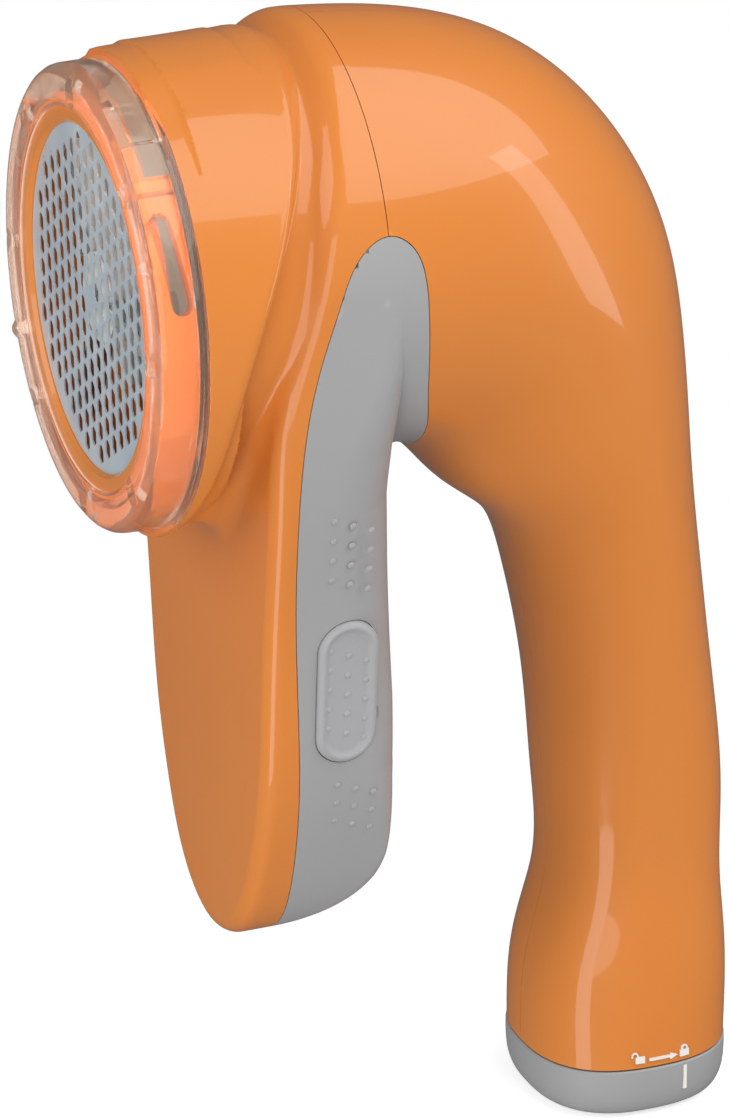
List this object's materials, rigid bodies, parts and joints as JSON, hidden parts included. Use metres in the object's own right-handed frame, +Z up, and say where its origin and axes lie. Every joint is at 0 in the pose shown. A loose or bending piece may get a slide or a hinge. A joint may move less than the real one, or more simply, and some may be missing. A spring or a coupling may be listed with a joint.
{
  "type": "fabric shaver",
  "caption": "Battery fabric shaver with a hooked handle, a round cutting head under a clear turn-to-adjust depth guard, a lint catcher leg and a twist-lock battery cap.",
  "frame": {"origin": "centre of the battery cap's flat foot face", "axes": "+Z runs up the handle, the cutting head faces -Y, +X is the object's left side, and X = 0 is the mirror plane of the casing"},
  "size_m": [0.0786, 0.1136, 0.2004],
  "materials": {
    "orange_shell": "glossy",
    "grey_shell": "satin",
    "grey_pad": "soft touch",
    "clear_guard": "clear, glossy",
    "foil_steel": "bright, etched",
    "steel": "satin",
    "zinc_can": "plated",
    "black_plastic": "matte",
    "white_plastic": "matte",
    "copper": "bright",
    "brass": "satin",
    "ferrite": "matte",
    "black_rubber": "matte",
    "cell_jacket": "glossy film",
    "red_insulation": "satin",
    "black_insulation": "satin",
    "knob_plastic": "satin"
  },
  "bodies": {
    "casing": {"front_shell": "orange_shell", "left_rear_shell": "orange_shell", "right_rear_shell": "orange_shell", "motor_bulkhead": "white_plastic", "mount_screws": "steel", "motor_can": "zinc_can", "motor_end_cap": "black_plastic", "motor_terminals": "brass", "motor_magnets": "ferrite", "motor_bushes": "brass", "motor_brushes": "copper", "casing_screws": "steel", "switch_body": "black_plastic", "switch_contacts": "brass", "battery_sleeve": "black_plastic", "battery_cells": "cell_jacket", "battery_contacts": "brass", "contact_springs": "steel", "red_wires": "red_insulation", "black_wires": "black_insulation"},
    "rotor": {"motor_armature": "steel", "commutator": "copper", "blade_hub": "white_plastic", "blades": "steel", "blade_spring": "steel"},
    "guard_carrier": {"guard_friction_ring": "black_rubber"},
    "guard": {"depth_guard": "clear_guard"},
    "foil_holder": {"foil_ring": "orange_shell", "foil": "foil_steel"},
    "catcher": {"lint_catcher": "grey_shell"},
    "left_pad": {"left_squeeze_pad": "grey_pad"},
    "right_pad": {"right_squeeze_pad": "grey_pad"},
    "switch": {"switch_knob": "knob_plastic"},
    "cap_carrier": {"cap_seal": "black_rubber"},
    "cap": {"battery_cap": "grey_shell", "cap_contact": "brass"}
  },
  "joints": [
    {"name": "blade_spin", "type": "hinge", "parent": "casing", "child": "rotor", "pos_m": [0, -0.085, 0.1575], "axis": [0, -1, 0], "continuous": true},
    {"name": "guard_lift", "type": "slide", "parent": "casing", "child": "guard_carrier", "axis": [0, -1, 0], "range_m": [0, 0.0015]},
    {"name": "guard_turn", "type": "hinge", "parent": "guard_carrier", "child": "guard", "pos_m": [0, -0.09, 0.1575], "axis": [0, -1, 0], "range_deg": [0, 20]},
    {"name": "foil_ring_turn", "type": "hinge", "parent": "casing", "child": "foil_holder", "pos_m": [0, -0.093, 0.1575], "axis": [0, -1, 0], "range_deg": [0, 15]},
    {"name": "catcher_slide", "type": "slide", "parent": "casing", "child": "catcher", "axis": [0, 0.1045, -0.9945], "range_m": [0, 0.14]},
    {"name": "left_pad_press", "type": "slide", "parent": "catcher", "child": "left_pad", "axis": [-1, 0, 0], "range_m": [0, 0.0008], "stiffness_N_per_m": 800},
    {"name": "right_pad_press", "type": "slide", "parent": "catcher", "child": "right_pad", "axis": [1, 0, 0], "range_m": [0, 0.0008], "stiffness_N_per_m": 800},
    {"name": "switch_slide", "type": "slide", "parent": "casing", "child": "switch", "axis": [0, -0.1994, 0.9799], "range_m": [0, 0.004]},
    {"name": "cap_drop", "type": "slide", "parent": "casing", "child": "cap_carrier", "axis": [0, 0, -1], "range_m": [0, 0.0012]},
    {"name": "cap_turn", "type": "hinge", "parent": "cap_carrier", "child": "cap", "pos_m": [0, 0, 0.005], "axis": [0, 0, -1], "range_deg": [0, 35]}
  ],
  "couplings": [
    {"joint": "guard_lift", "follows": "guard_turn", "m_per_rad": 0.0042971},
    {"joint": "cap_drop", "follows": "cap_turn", "m_per_rad": 0.0019644}
  ]
}
